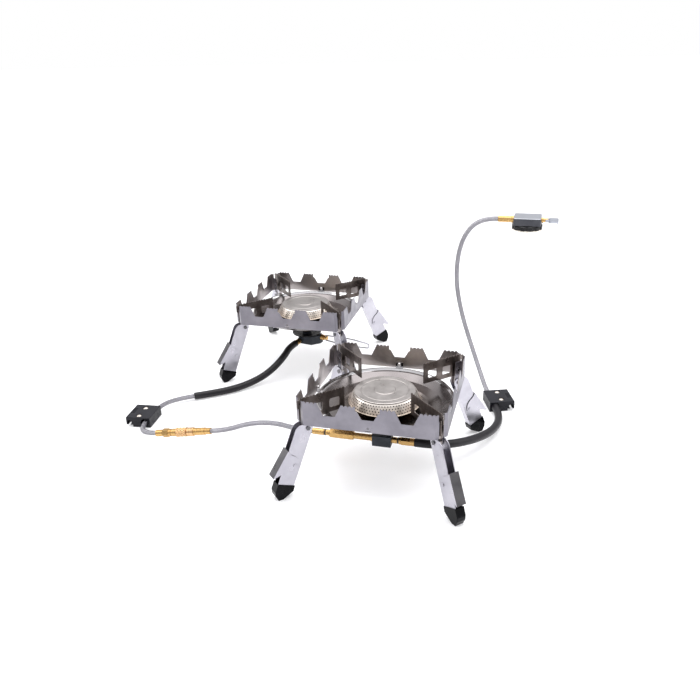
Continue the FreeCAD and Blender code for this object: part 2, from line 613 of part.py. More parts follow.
# ---------------------------------------------------------------- hoses
def bend_radii(points):
    """The arc radius at each inner corner: as large as its two runs allow."""
    radii = []
    for a, b, c in zip(points, points[1:], points[2:]):
        turn = (b - a).getAngle(c - b)
        shorter = min((b - a).Length, (c - b).Length)
        radii.append(0.45 * shorter / math.tan(turn / 2))
    return radii


def centre_line(points, radii):
    """Straight runs joined by tangent arcs."""
    edges = []
    last = points[0]
    for a, b, c, radius in zip(points, points[1:], points[2:], radii):
        back = (a - b).normalize()
        ahead = (c - b).normalize()
        half_turn = (math.pi - back.getAngle(ahead)) / 2
        reach = radius * math.tan(half_turn)
        start = b + back * reach
        end = b + ahead * reach
        inwards = (back + ahead).normalize()
        middle = b + inwards * (radius / math.cos(half_turn) - radius)
        edges.append(Part.LineSegment(last, start).toShape())
        edges.append(Part.Arc(start, middle, end).toShape())
        last = end
    edges.append(Part.LineSegment(last, points[-1]).toShape())
    return Part.Wire(edges)


def tube(points, radii, radius, name):
    wire = centre_line(points, radii)
    direction = points[1] - points[0]
    disc = Part.Wire(Part.makeCircle(radius, points[0], direction))
    solid = wire.makePipeShell([disc], True, False)
    share = solid.Volume / (math.pi * radius ** 2 * wire.Length)
    print(f"{name}: length {wire.Length:.1f} volume share {share:.4f} radii",
          [round(r, 1) for r in radii])
    return solid


def hoses():
    feed = [Vector(*p) for p in FEED_ROUTE]
    feed_radii = bend_radii(feed)
    front = [Vector(*p) for p in LINK_FRONT_ROUTE]
    rear = [Vector(*p) for p in LINK_REAR_ROUTE]
    rear_radii = bend_radii(rear)

    run = FEED_SLEEVE_RUN
    feed_cover = feed[:run + 1] + [(feed[run] + feed[run + 1]) / 2]
    cover_radii = feed_radii[:run]
    run = LINK_SLEEVE_RUN
    link_cover = [(rear[run] + rear[run + 1]) / 2] + rear[run + 1:]
    link_radii = rear_radii[run:]
    sleeves = []
    for name, points, radii in (("feed_sleeve", feed_cover, cover_radii), ("link_sleeve", link_cover, link_radii)):
        outside = tube(points, radii, SLEEVE_R, name)
        inside = tube(points, radii, SLEEVE_IN_R, name + " bore")
        sleeves.append(outside.cut(inside))
    export("feed_hose", tube(feed, feed_radii, HOSE_R, "feed_hose"))
    export("link_hose_front", tube(front, bend_radii(front), HOSE_R, "link_hose_front"))
    export("link_hose_rear", tube(rear, rear_radii, HOSE_R, "link_hose_rear"))
    export("feed_sleeve", sleeves[0])
    export("link_sleeve", sleeves[1])


# ---------------------------------------------------------------- build and export
panel = windscreen_panel()
fin = pot_support()
pan = drip_pan()
cup = burner_cup()
cap = burner_cap()
mixer = mixer_tube()
blocks = {"front": front_valve_block(), "rear": rear_valve_block()}
steel = leg_steel()
foot = leg_foot(steel)
lever = leg_lever()

for unit in UNIT_CENTRES:
    export(f"{unit}_windscreen_panels", *[at_unit(panel, unit, 90 * k) for k in range(4)])
    export(f"{unit}_pot_supports", *[at_unit(fin, unit, 45 + 90 * k) for k in range(4)])
    export(f"{unit}_drip_pan", at_unit(pan, unit))
    export(f"{unit}_burner_cup", at_unit(cup, unit))
    export(f"{unit}_burner_cap", at_unit(cap, unit))
    export(f"{unit}_mixer_tube", at_unit(mixer, unit))
    export(f"{unit}_valve_block", at_unit(blocks[unit], unit))
    for number in range(1, 5):
        turn = 90 * number + 135
        export(f"{unit}_leg_{number}", at_unit(open_leg(steel), unit, turn))
        export(f"{unit}_leg_{number}_foot", at_unit(open_leg(foot), unit, turn))
        swung = lever.copy()
        hinge = Vector(LEVER_PIN[0], 0, -LEVER_PIN[1])
        swung.rotate(hinge, Vector(0, 1, 0), LEVER_CLOSED.get((unit, number), 0.0))
        export(f"{unit}_leg_{number}_lever", at_unit(open_leg(swung), unit, turn))

shield = heat_shield()
export("heat_shields", *[at_unit(shield, unit) for unit in UNIT_CENTRES])
fasteners = unit_fasteners()
export("rivets_and_pins", *[at_unit(shape, unit, turn) for unit in UNIT_CENTRES for shape, turn in fasteners])
export("gas_fittings", *gas_fittings())
export("rear_valve_spindle", rear_spindle())
export("rear_valve_handle", rear_handle())
socket, sleeve, plug = coupling_parts()
export("coupling_socket", socket)
export("coupling_sleeve", sleeve)
export("coupling_plug", plug)

base, cover, screws = hose_clip()
places = (LEFT_CLIP, RIGHT_CLIP)
export("hose_clip_bases", *[at_clip(base, place) for place in places])
export("hose_clip_covers", *[at_clip(cover, place) for place in places])
export("hose_clip_screws", *[at_clip(screw, place) for place in places for screw in screws])

body, ferrule = valve_body()
export("canister_valve_body", at_valve(body))
export("canister_valve_ferrule", at_valve(ferrule))
export("canister_collar", at_valve(canister_collar()))
export("canister_valve_stem", at_valve(valve_stem()))
export("canister_valve_knob", at_valve(valve_knob()))
hoses()
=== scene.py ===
import json
import math

import bmesh
import bpy
from mathutils import Matrix, Vector


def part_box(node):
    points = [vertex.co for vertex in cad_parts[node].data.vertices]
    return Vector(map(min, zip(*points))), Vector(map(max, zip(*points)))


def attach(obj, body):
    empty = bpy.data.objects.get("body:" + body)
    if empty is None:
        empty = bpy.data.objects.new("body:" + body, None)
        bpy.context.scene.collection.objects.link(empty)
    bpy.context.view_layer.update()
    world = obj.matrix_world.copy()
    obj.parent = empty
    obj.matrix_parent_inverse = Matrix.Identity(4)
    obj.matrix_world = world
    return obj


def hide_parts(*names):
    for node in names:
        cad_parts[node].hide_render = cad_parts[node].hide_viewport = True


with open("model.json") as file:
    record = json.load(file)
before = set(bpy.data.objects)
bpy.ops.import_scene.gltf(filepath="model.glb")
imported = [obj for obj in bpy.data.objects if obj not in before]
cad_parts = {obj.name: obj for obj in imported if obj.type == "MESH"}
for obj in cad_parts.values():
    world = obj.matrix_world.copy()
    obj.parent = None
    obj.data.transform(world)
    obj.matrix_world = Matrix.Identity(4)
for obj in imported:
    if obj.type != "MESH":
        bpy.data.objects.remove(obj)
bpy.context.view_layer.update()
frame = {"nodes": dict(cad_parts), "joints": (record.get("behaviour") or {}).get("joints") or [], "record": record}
nodes = frame["nodes"]

UNITS = ("front", "rear")
UNIT_CENTRES = {unit: (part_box(unit + "_burner_cap")[0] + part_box(unit + "_burner_cap")[1]) / 2
                for unit in UNITS}

# ---------------------------------------------------------------- camera
CAMERA_PLACE = (0.2503, -0.8190, 0.4562)
CAMERA_HEADING = (-0.2774, 0.9608)     # the way it looks, seen from above
CAMERA_PITCH = math.radians(23.8)      # downwards
CAMERA_ROLL = math.radians(-1.81)
CAMERA_LENS = 36.76                    # millimetres, on a 36 mm sensor


def make_camera():
    data = bpy.data.cameras.new("camera")
    data.lens = CAMERA_LENS
    data.sensor_width = 36
    camera = bpy.data.objects.new("camera", data)
    bpy.context.scene.collection.objects.link(camera)
    heading = Vector((*CAMERA_HEADING, 0)).normalized()
    look = heading * math.cos(CAMERA_PITCH) - Vector((0, 0, math.sin(CAMERA_PITCH)))
    turn = look.to_track_quat("-Z", "Y").to_matrix().to_4x4()
    camera.matrix_world = Matrix.Translation(CAMERA_PLACE) @ turn @ Matrix.Rotation(CAMERA_ROLL, 4, "Z")
    bpy.context.scene.camera = camera


make_camera()


# ---------------------------------------------------------------- mesh helpers
def add_object(name, mesh):
    piece = bpy.data.objects.new(name, mesh)
    bpy.context.scene.collection.objects.link(piece)
    return piece


def add_piece(name, mesh, body, material, replaced=()):
    """A piece of the object, riding on a body, with its finish."""
    piece = add_object(name, mesh)
    mesh.materials.append(material)
    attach(piece, body)
    if replaced:
        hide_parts(*replaced)
    return piece


def smooth(mesh, angle=35.0):
    """Smooth shading, with the edges sharper than the angle kept."""
    bm = bmesh.new()
    bm.from_mesh(mesh)
    for face in bm.faces:
        face.smooth = True
    for edge in bm.edges:
        if len(edge.link_faces) == 2 and edge.calc_face_angle() > math.radians(angle):
            edge.smooth = False
    bm.to_mesh(mesh)
    bm.free()


def frames_along(line):
    """At each point, the direction and two crosswise directions that don't twist."""
    frames = []
    side = None
    for i, point in enumerate(line):
        ahead = line[min(i + 1, len(line) - 1)] - line[max(i - 1, 0)]
        ahead.normalize()
        if side is None:
            side = crosswise(ahead)[0]
        side = (side - ahead * side.dot(ahead)).normalized()
        frames.append((point, ahead, side, ahead.cross(side)))
    return frames


def resampled(line, step):
    """Points an even step apart along a line, its ends kept."""
    lengths = [0.0]
    for a, b in zip(line, line[1:]):
        lengths.append(lengths[-1] + (b - a).length)
    count = max(2, round(lengths[-1] / step))
    points = []
    at = 0
    for i in range(count + 1):
        want = lengths[-1] * i / count
        while at < len(lengths) - 2 and lengths[at + 1] < want:
            at += 1
        share = (want - lengths[at]) / (lengths[at + 1] - lengths[at])
        points.append(line[at].lerp(line[at + 1], min(1.0, share)))
    return points


def crosswise(axis):
    """Two directions square to an axis and to each other."""
    side = axis.cross(Vector((0, 0, 1)))
    if side.length < 0.1:
        side = axis.cross(Vector((1, 0, 0)))
    side.normalize()
    return side, axis.cross(side)


def swept(name, line, around, radius_at):
    """A closed tube along a line. radius_at gives the radius from the distance along and the
    angle. Its UVs are turns around and metres along."""
    bm = bmesh.new()
    uv = bm.loops.layers.uv.new("run")
    rings = []
    runs = []
    run = 0.0
    last = None
    for point, ahead, side, up in frames_along(line):
        run += (point - last).length if last is not None else 0.0
        last = point
        ring = []
        for k in range(around):
            angle = 2 * math.pi * k / around
            reach = radius_at(run, angle)
            ring.append(bm.verts.new(point + (side * math.cos(angle) + up * math.sin(angle)) * reach))
        rings.append(ring)
        runs.append(run)
    for i in range(len(rings) - 1):
        for k in range(around):
            after = (k + 1) % around
            face = bm.faces.new((rings[i][k], rings[i][after], rings[i + 1][after], rings[i + 1][k]))
            spots = ((k, i), (k + 1, i), (k + 1, i + 1), (k, i + 1))
            for loop, (turn, ring_no) in zip(face.loops, spots):
                loop[uv].uv = (turn / around, runs[ring_no])
            face.smooth = True
    for ring, flip in ((rings[0], True), (rings[-1], False)):
        bm.faces.new(list(reversed(ring)) if flip else ring)
    bmesh.ops.recalc_face_normals(bm, faces=bm.faces)
    mesh = bpy.data.meshes.new(name)
    bm.to_mesh(mesh)
    bm.free()
    return mesh


def lathed(name, profile, start, axis, around=48, radius_at=None):
    """A solid turned about an axis from pairs of distance along and radius, both in metres."""
    axis = axis.normalized()
    side, up = crosswise(axis)
    bm = bmesh.new()
    rings = []
    for along, radius in profile:
        ring = []
        for k in range(around):
            angle = 2 * math.pi * k / around
            reach = radius_at(along, radius, angle) if radius_at else radius
            outwards = side * math.cos(angle) + up * math.sin(angle)
            ring.append(bm.verts.new(start + axis * along + outwards * reach))
        rings.append(ring)
    for a, b in zip(rings, rings[1:]):
        for k in range(around):
            after = (k + 1) % around
            bm.faces.new((a[k], a[after], b[after], b[k]))
    bm.faces.new(list(reversed(rings[0])))
    bm.faces.new(rings[-1])
    bmesh.ops.recalc_face_normals(bm, faces=bm.faces)
    mesh = bpy.data.meshes.new(name)
    bm.to_mesh(mesh)
    bm.free()
    smooth(mesh)
    return mesh


# ---------------------------------------------------------------- cords: routes as in the CAD, millimetres
FEED_ROUTE = [
    (123.3, -126.5, 29.8), (146.0, -126.4, 29.2), (168.0, -110.5, 25.0), (188.0, -83.0, 17.5),
    (203.5, -50.0, 10.5), (210.3, -18.0, 7.2), (206.8, 9.6, 6.75), (186.4, 66.0, 6.75),
    (173.5, 86.5, 29.0), (158.0, 102.5, 62.0), (143.5, 112.0, 100.0), (134.6, 116.0, 140.0),
    (135.0, 117.0, 180.0), (144.5, 117.0, 212.0), (165.0, 117.0, 231.4), (186.3, 117.0, 231.6),
]
LINK_FRONT_ROUTE = [
    (1.9, -126.5, 29.8), (-20.0, -126.5, 30.0), (-48.0, -123.6, 33.2), (-78.0, -129.5, 32.0),
    (-104.0, -140.4, 25.0), (-123.8, -141.2, 22.0),
]
LINK_REAR_ROUTE = [
    (-189.3, -143.5, 12.2), (-213.0, -144.4, 8.6), (-229.5, -127.8, 6.75), (-235.4, -71.6, 6.75),
    (-221.0, -45.0, 5.8), (-184.0, -20.5, 5.2), (-156.0, 1.0, 5.0), (-134.0, 29.0, 7.5),
    (-116.5, 46.0, 18.0), (-105.5, 69.5, 30.5), (-104.5, 88.3, 36.0), (-100.455, 104.475, 36.0),
]
FEED_SLEEVE_RUN = 6       # the sleeve ends at the middle of this run
LINK_SLEEVE_RUN = 4       # the sleeve starts at the middle of this run

HOSE_R = 0.00300          # to the middle of the braid
BRAID_RELIEF = 0.00012
BRAID_STRANDS = 12        # bundles of wires each way round
BRAID_PITCH = 0.019       # metres for a bundle to go once round
BRAID_STEP = 0.00042
BRAID_AROUND = 48
SLEEVE_R = 0.0049
SLEEVE_STEP = 0.0016
SLEEVE_AROUND = 36
SLEEVE_END_ROUND = 0.0006


def route_line(points):
    """Close points along the smooth curve whose control points are the route's corners."""
    curve = bpy.data.curves.new("route", "CURVE")
    curve.dimensions = "3D"
    spline = curve.splines.new("NURBS")
    spline.points.add(len(points) - 1)
    for control, point in zip(spline.points, points):
        control.co = (*(Vector(point) / 1000), 1)
    spline.order_u = 3
    spline.use_endpoint_u = True
    spline.resolution_u = 16
    carrier = add_object("route", curve)
    mesh = bpy.data.meshes.new_from_object(carrier)
    line = [v.co.copy() for v in mesh.vertices]
    bpy.data.objects.remove(carrier)
    bpy.data.meshes.remove(mesh)
    return line


def middle(a, b):
    return tuple((Vector(a) + Vector(b)) / 2)


def braid_radius(run, angle):
    """Two sets of wire bundles that wind opposite ways and go over and under each other."""
    along = run / BRAID_PITCH
    turns = angle / (2 * math.pi)
    one = math.cos(2 * math.pi * BRAID_STRANDS * (turns + along))
    two = math.cos(2 * math.pi * BRAID_STRANDS * (turns - along))
    return HOSE_R + BRAID_RELIEF * (0.35 * (one + two) + 0.3 * one * two)


def make_braid(name, line, replaced):
    mesh = swept(name, resampled(line, BRAID_STEP), BRAID_AROUND, braid_radius)
    return add_piece(name, mesh, "frame", FINISHES["hose_braid"], [replaced])


def make_sleeve(name, route, replaced):
    """Rubber sleeve around a hose, with rounded ends."""
    line = resampled(route_line(route), SLEEVE_STEP)
    total = sum((b - a).length for a, b in zip(line, line[1:]))
    ends = [line[0], line[0].lerp(line[1], 0.15), line[0].lerp(line[1], 0.45)]
    ends_far = [line[-2].lerp(line[-1], 0.55), line[-2].lerp(line[-1], 0.85), line[-1]]
    line = ends + line[1:-1] + ends_far

    def radius_at(run, angle):
        near = min(run, total - run) / SLEEVE_END_ROUND
        return SLEEVE_R - 0.0005 * max(0.0, 1 - near) ** 2

    mesh = swept(name, line, SLEEVE_AROUND, radius_at)
    return add_piece(name, mesh, "frame", FINISHES["sleeve_rubber"], [replaced])


# ---------------------------------------------------------------- materials
EDGE_SOFTNESS = 0.0003                 # radius of a worked edge's highlight
PAN_RIM_R = 0.0743                     # the rolled rim is painted bright as a highlight, and glossier, from here outwards
PAN_RIM_FADE = 0.0006
CUP_HEIGHTS = (0.0806, 0.0926)         # foot and top of the perforated wall
CUP_WALL_RADII = (0.0415, 0.03505)     # the wall's outside at those two heights
CUP_LIT_DEPTH = 0.00015                # past this the ports and the hollow get painted shade
CUP_EDGE = 0.0015                      # height of the plain edge over the ports
# colour of the painted shade in the ports and the hollow
CUP_PORT_SHADE = (0.012, 0.010, 0.009)
COLLAR_RIM = 0.0018                    # height of the canister collar's bright edge


class Finish:
    """A Principled material and the nodes that feed it. Its plain colour and roughness hold until
    a node feeds those sockets."""

    def __init__(self, name, colour, metallic, roughness, **sockets):
        self.material = bpy.data.materials.new(name)
        self.material.use_nodes = True
        self.tree = self.material.node_tree
        self.shader = self.tree.nodes["Principled BSDF"]
        self.shader.inputs["Base Color"].default_value = (*colour, 1)
        self.shader.inputs["Metallic"].default_value = metallic
        self.shader.inputs["Roughness"].default_value = roughness
        for socket, value in sockets.items():
            self.shader.inputs[socket.replace("_", " ")].default_value = value
        coordinates = self.tree.nodes.new("ShaderNodeTexCoord")
        self.place = coordinates.outputs["Object"]
        self.uv = coordinates.outputs["UV"]
        self.normal = None

    def node(self, kind, *wires, **settings):
        made = self.tree.nodes.new("ShaderNode" + kind)
        for key, value in settings.items():
            setattr(made, key, value)
        for number, wire in enumerate(wires):
            self.feed(made.inputs[number], wire)
        return made

    def feed(self, socket, wire):
        if wire is None:
            return
        if isinstance(wire, bpy.types.NodeSocket):
            self.tree.links.new(wire, socket)
        else:
            socket.default_value = wire

    def maths(self, operation, a, b=None, c=None):
        return self.node("Math", a, b, c, operation=operation).outputs[0]

    def vector_maths(self, operation, a, b=None):
        made = self.node("VectorMath", a, b, operation=operation)
        return made.outputs["Value"] if operation in ("LENGTH", "DOT_PRODUCT") else made.outputs["Vector"]

    def stretched(self, scale):
        mapping = self.node("Mapping", self.place)
        mapping.inputs["Scale"].default_value = scale
        return mapping.outputs[0]

    def noise(self, scale, detail=3.0, roughness=0.5, source=None):
        made = self.node("TexNoise")
        self.feed(made.inputs["Vector"], source or self.place)
        made.inputs["Scale"].default_value = scale
        made.inputs["Detail"].default_value = detail
        made.inputs["Roughness"].default_value = roughness
        return made.outputs["Fac"]

    def between(self, value, low, high, out_low=0.0, out_high=1.0):
        made = self.node("MapRange", value, low, high, out_low, out_high)
        made.clamp = True
        return made.outputs[0]

    def mixed(self, factor, one, two):
        made = self.tree.nodes.new("ShaderNodeMix")
        made.data_type = "RGBA"
        self.feed(made.inputs["Factor"], factor)
        for socket, colour in ((made.inputs[6], one), (made.inputs[7], two)):
            self.feed(socket, (*colour, 1) if isinstance(colour, tuple) and len(colour) == 3 else colour)
        return made.outputs[2]

    def blend(self, factor, one, two):
        """Like mixed, for plain numbers."""
        made = self.tree.nodes.new("ShaderNodeMix")
        for number, wire in ((0, factor), (2, one), (3, two)):
            self.feed(made.inputs[number], wire)
        return made.outputs[0]

    def colour(self, wire):
        self.feed(self.shader.inputs["Base Color"], wire)

    def roughness(self, wire):
        self.feed(self.shader.inputs["Roughness"], wire)

    def bump(self, height, strength, distance):
        made = self.tree.nodes.new("ShaderNodeBump")
        made.inputs["Strength"].default_value = strength
        made.inputs["Distance"].default_value = distance
        self.feed(made.inputs["Height"], height)
        if self.normal is not None:
            self.feed(made.inputs["Normal"], self.normal)
        self.normal = made.outputs[0]
        self.feed(self.shader.inputs["Normal"], self.normal)

    def soft_edges(self, radius=EDGE_SOFTNESS):
        """Light catches the worked edges of a part as on a broken corner."""
        made = self.tree.nodes.new("ShaderNodeBevel")
        made.samples = 4
        made.inputs["Radius"].default_value = radius
        self.normal = made.outputs[0]
        self.feed(self.shader.inputs["Normal"], self.normal)

    def level_from_axis(self, unit):
        """The level vector from a unit's axis to the place, and its length."""
        away = self.vector_maths("SUBTRACT", self.place, tuple(UNIT_CENTRES[unit]))
        flat = self.vector_maths("MULTIPLY", away, (1, 1, 0))
        return flat, self.vector_maths("LENGTH", flat)

    def from_unit_axis(self):
        """The smaller of the distances from the two units' axes, in metres."""
        return self.maths("MINIMUM", *[self.level_from_axis(unit)[1] for unit in UNITS])

    def turned_rings(self, radius, rings_per_metre, detail, roughness):
        """Noise that varies only with the distance from the axis, like tool marks."""
        scaled = self.maths("MULTIPLY", radius, rings_per_metre)
        spread = self.node("CombineXYZ", scaled, 0.0, 0.0).outputs[0]
        return self.noise(1.0, detail, roughness, spread)

    def outwards_share(self):
        """From 1 on faces that look straight away from their unit's axis to -1 on those that look at it."""
        facing = []
        seen = self.node("NewGeometry").outputs["True Normal"]
        normal = self.node("VectorTransform", seen, vector_type="NORMAL", convert_from="WORLD",
                           convert_to="OBJECT").outputs[0]
        for unit in UNITS:
            flat, distance = self.level_from_axis(unit)
            outwards = self.vector_maths("NORMALIZE", flat)
            facing.append((distance, self.vector_maths("DOT_PRODUCT", outwards, normal)))
        nearer = self.maths("LESS_THAN", facing[0][0], facing[1][0])
        return self.blend(nearer, facing[1][1], facing[0][1])

    def inwards(self):
        """1 on the faces that look towards their unit's axis, 0 on those that look away."""
        return self.maths("LESS_THAN", self.outwards_share(), 0.0)


def blasted_steel(name, colour, darker, roughness, inside=None):
    """Satin sheet steel with a cloudy tone and a fine grain. The inside may be heat-browned."""
    made = Finish(name, colour, 1.0, roughness)
    made.soft_edges()
    clouds = made.noise(38.0, 4.0, 0.6)
    tone = made.mixed(made.between(clouds, 0.35, 0.68), darker, colour)
    if inside is not None:
        brown = made.mixed(made.between(clouds, 0.3, 0.7), inside, tuple(0.72 * c for c in inside))
        tone = made.mixed(made.inwards(), tone, brown)
    grain = made.noise(1400.0, 2.0, 0.6)
    smudges = made.noise(90.0, 3.0, 0.55)
    made.colour(tone)
    made.roughness(made.between(smudges, 0.3, 0.7, roughness - 0.07, roughness + 0.09))
    made.bump(grain, 0.12, 0.0002)
    return made.material


def lever_sheet(name):
    """The lever's side plates match the leg; its web, which faces outwards, is painted darker as shade."""
    made = Finish(name, (0.54, 0.53, 0.58), 1.0, 0.32)
    made.soft_edges()
    clouds = made.noise(38.0, 4.0, 0.6)
    plates = made.mixed(made.between(clouds, 0.35, 0.68), (0.45, 0.44, 0.49), (0.54, 0.53, 0.58))
    # painted shade: the outward-facing web of the same sheet gets a much darker colour
    web = made.mixed(made.between(clouds, 0.35, 0.68), (0.115, 0.112, 0.118), (0.18, 0.175, 0.182))
    facing = made.outwards_share()
    made.colour(made.mixed(made.between(made.maths("ABSOLUTE", facing), 0.45, 0.6), plates, web))
    made.roughness(made.between(made.noise(90.0, 3.0, 0.55), 0.3, 0.7, 0.25, 0.4))
    made.bump(made.noise(1400.0, 2.0, 0.6), 0.12, 0.0002)
    return made.material


def heat_dark_steel(name):
    """Pot supports: brown-grey heat colours, lighter in random clouds."""
    made = Finish(name, (0.16, 0.135, 0.12), 1.0, 0.36)
    made.soft_edges()
    clouds = made.noise(60.0, 4.0, 0.6)
    made.colour(made.mixed(made.between(clouds, 0.32, 0.7), (0.085, 0.068, 0.060), (0.20, 0.175, 0.165)))
    made.roughness(made.between(made.noise(150.0), 0.3, 0.7, 0.26, 0.44))
    made.bump(made.noise(1600.0, 2.0), 0.1, 0.0002)
    return made.material


def spun_pan(name):
    """Satin steel spun in rings and browned towards the burner, with a rolled rim painted bright as a highlight.
    """
    made = Finish(name, (0.38, 0.34, 0.32), 1.0, 0.25)
    radius = made.from_unit_axis()
    rings = made.turned_rings(radius, 2600.0, 3.0, 0.7)
    wandering = made.maths("ADD", radius, made.maths("MULTIPLY", made.noise(30.0), 0.02))
    warmth = made.between(wandering, 0.045, 0.078)
    browned = made.mixed(warmth, (0.165, 0.135, 0.118), (0.195, 0.178, 0.178))
    # painted highlight: the rolled rim's colour is lifted far above the steel's own, and it is glossier
    rim = made.between(radius, PAN_RIM_R - PAN_RIM_FADE, PAN_RIM_R)
    made.colour(made.mixed(rim, browned, (0.62, 0.61, 0.62)))
    satin = made.between(made.noise(45.0, 4.0), 0.35, 0.7, 0.17, 0.30)
    made.roughness(made.blend(rim, satin, 0.14))
    made.bump(rings, 0.12, 0.00006)
    return made.material


def burner_cap_steel(name):
    """Matt turned disc with faint rings."""
    made = Finish(name, (0.46, 0.42, 0.40), 1.0, 0.34)
    made.soft_edges()
    radius = made.from_unit_axis()
    rings = made.turned_rings(radius, 3000.0, 2.0, 0.6)
    clouds = made.noise(70.0, 4.0, 0.6)
    made.colour(made.mixed(made.between(clouds, 0.3, 0.7), (0.34, 0.315, 0.30), (0.46, 0.43, 0.415)))
    made.roughness(made.between(clouds, 0.3, 0.7, 0.26, 0.38))
    made.bump(rings, 0.25, 0.0001)
    return made.material


def cup_steel(name):
    """Perforated wall: bright steel with a straw-coloured heat tint that deepens downwards, and painted shade in
    the ports and the hollow.
    """
    made = Finish(name, (0.82, 0.77, 0.70), 1.0, 0.3)
    height = made.node("SeparateXYZ", made.place).outputs[2]
    straw = made.mixed(made.between(height, *CUP_HEIGHTS), (0.62, 0.52, 0.42), (0.74, 0.69, 0.64))
    wall = made.between(height, CUP_HEIGHTS[0], CUP_HEIGHTS[1], *CUP_WALL_RADII)
    depth = made.maths("SUBTRACT", wall, made.from_unit_axis())
    # painted shade: surfaces set back from the wall's face, in the ports and the hollow, are coloured near black
    ports = made.between(depth, CUP_LIT_DEPTH, 2 * CUP_LIT_DEPTH)
    below_edge = made.maths("LESS_THAN", height, CUP_HEIGHTS[1] - CUP_EDGE)
    made.colour(made.mixed(made.maths("MULTIPLY", ports, below_edge), straw, CUP_PORT_SHADE))
    made.roughness(made.between(made.noise(120.0), 0.3, 0.7, 0.24, 0.38))
    made.bump(made.noise(1500.0), 0.04, 0.0001)
    return made.material


def brass(name, colour, roughness):
    """Turned brass with tool lines and slight tarnish."""
    made = Finish(name, colour, 1.0, roughness)
    made.soft_edges(0.00025)
    tarnish = made.noise(420.0, 3.0, 0.55)
    made.colour(made.mixed(made.between(tarnish, 0.42, 0.75), colour, tuple(0.78 * c for c in colour)))
    made.roughness(made.between(made.noise(400.0), 0.3, 0.7, roughness - 0.06, roughness + 0.08))
    made.bump(made.noise(1.0, 2.0, 0.5, made.stretched((2600.0, 160.0, 160.0))), 0.12, 0.0001)
    return made.material


def moulded(name, colour, roughness, grain, strength, **sockets):
    """Dark moulded plastic, painted metal or rubber with a fine texture and rubbed spots."""
    made = Finish(name, colour, 0.0, roughness, **sockets)
    made.soft_edges()
    wear = made.noise(90.0, 4.0, 0.6)
    lighter = tuple(min(1.0, 1.5 * c + 0.008) for c in colour)
    made.colour(made.mixed(made.between(wear, 0.45, 0.8), colour, lighter))
    made.roughness(made.between(wear, 0.3, 0.75, roughness - 0.08, roughness + 0.1))
    made.bump(made.noise(grain, 2.0, 0.6), strength, 0.0002)
    return made.material


def valve_shell(name):
    """Dark satin sides and a top painted pale as light from above."""
    made = Finish(name, (0.10, 0.102, 0.115), 1.0, 0.32)
    made.soft_edges()
    upward = made.node("SeparateXYZ", made.node("NewGeometry").outputs["True Normal"]).outputs[2]
    clouds = made.between(made.noise(60.0, 4.0, 0.6), 0.3, 0.7)
    sides = made.mixed(clouds, (0.060, 0.061, 0.070), (0.085, 0.087, 0.098))
    # painted light: faces that look upwards get a pale colour, as if lit from above
    top = made.mixed(clouds, (0.50, 0.52, 0.57), (0.58, 0.60, 0.65))
    made.colour(made.mixed(made.between(upward, 0.4, 0.8), sides, top))
    made.bump(made.noise(1500.0, 2.0), 0.1, 0.0002)
    return made.material


def collar_with_rim(name):
    """Black grip with a bright metal edge at the bottom."""
    black = (0.006, 0.006, 0.007)
    made = Finish(name, black, 0.0, 0.3, Specular_IOR_Level=0.3)
    made.soft_edges()
    height = made.node("SeparateXYZ", made.place).outputs[2]
    rim = made.maths("LESS_THAN", height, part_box("canister_collar")[0].z + COLLAR_RIM)
    made.colour(made.mixed(rim, black, (0.70, 0.65, 0.58)))
    made.feed(made.shader.inputs["Metallic"], rim)
    made.bump(made.noise(1200.0, 2.0), 0.1, 0.0002)
    return made.material


def braided_wire(name):
    """Fine wires that run in two crossing directions, with painted shade between the wires and painted shade
    darkening the hose's edges.
    """
    made = Finish(name, (0.72, 0.71, 0.74), 1.0, 0.3)
    split = made.node("SeparateXYZ", made.uv)
    turns, metres = split.outputs[0], split.outputs[1]
    along = made.maths("DIVIDE", metres, BRAID_PITCH)
    heights = []
    for operation in ("ADD", "SUBTRACT"):
        lane = made.maths(operation, turns, along)
        fine = made.maths("SINE", made.maths("MULTIPLY", lane, 2 * math.pi * BRAID_STRANDS * 5))
        broad = made.maths("COSINE", made.maths("MULTIPLY", lane, 2 * math.pi * BRAID_STRANDS))
        heights.append((fine, broad))
    over = made.between(made.maths("SUBTRACT", heights[0][1], heights[1][1]), -0.25, 0.25)
    wires = made.blend(over, heights[1][0], heights[0][0])
    shade = made.maths("MULTIPLY_ADD", wires, 0.5, 0.5)
    clouds = made.noise(55.0)
    bright = made.mixed(made.between(clouds, 0.3, 0.7), (0.53, 0.52, 0.55), (0.42, 0.41, 0.44))
    # painted shade: the colour darkens towards the hose's silhouette by viewing angle
    edge = made.node("LayerWeight")
    edge.inputs["Blend"].default_value = 0.45
    # painted shade: dark in the gaps between the wires, bright on their crowns
    shaded = made.mixed(shade, (0.19, 0.185, 0.21), bright)
    made.colour(made.mixed(made.between(edge.outputs["Facing"], 0.35, 0.95), shaded, (0.13, 0.125, 0.14)))
    made.bump(wires, 0.6, 0.00012)
    return made.material


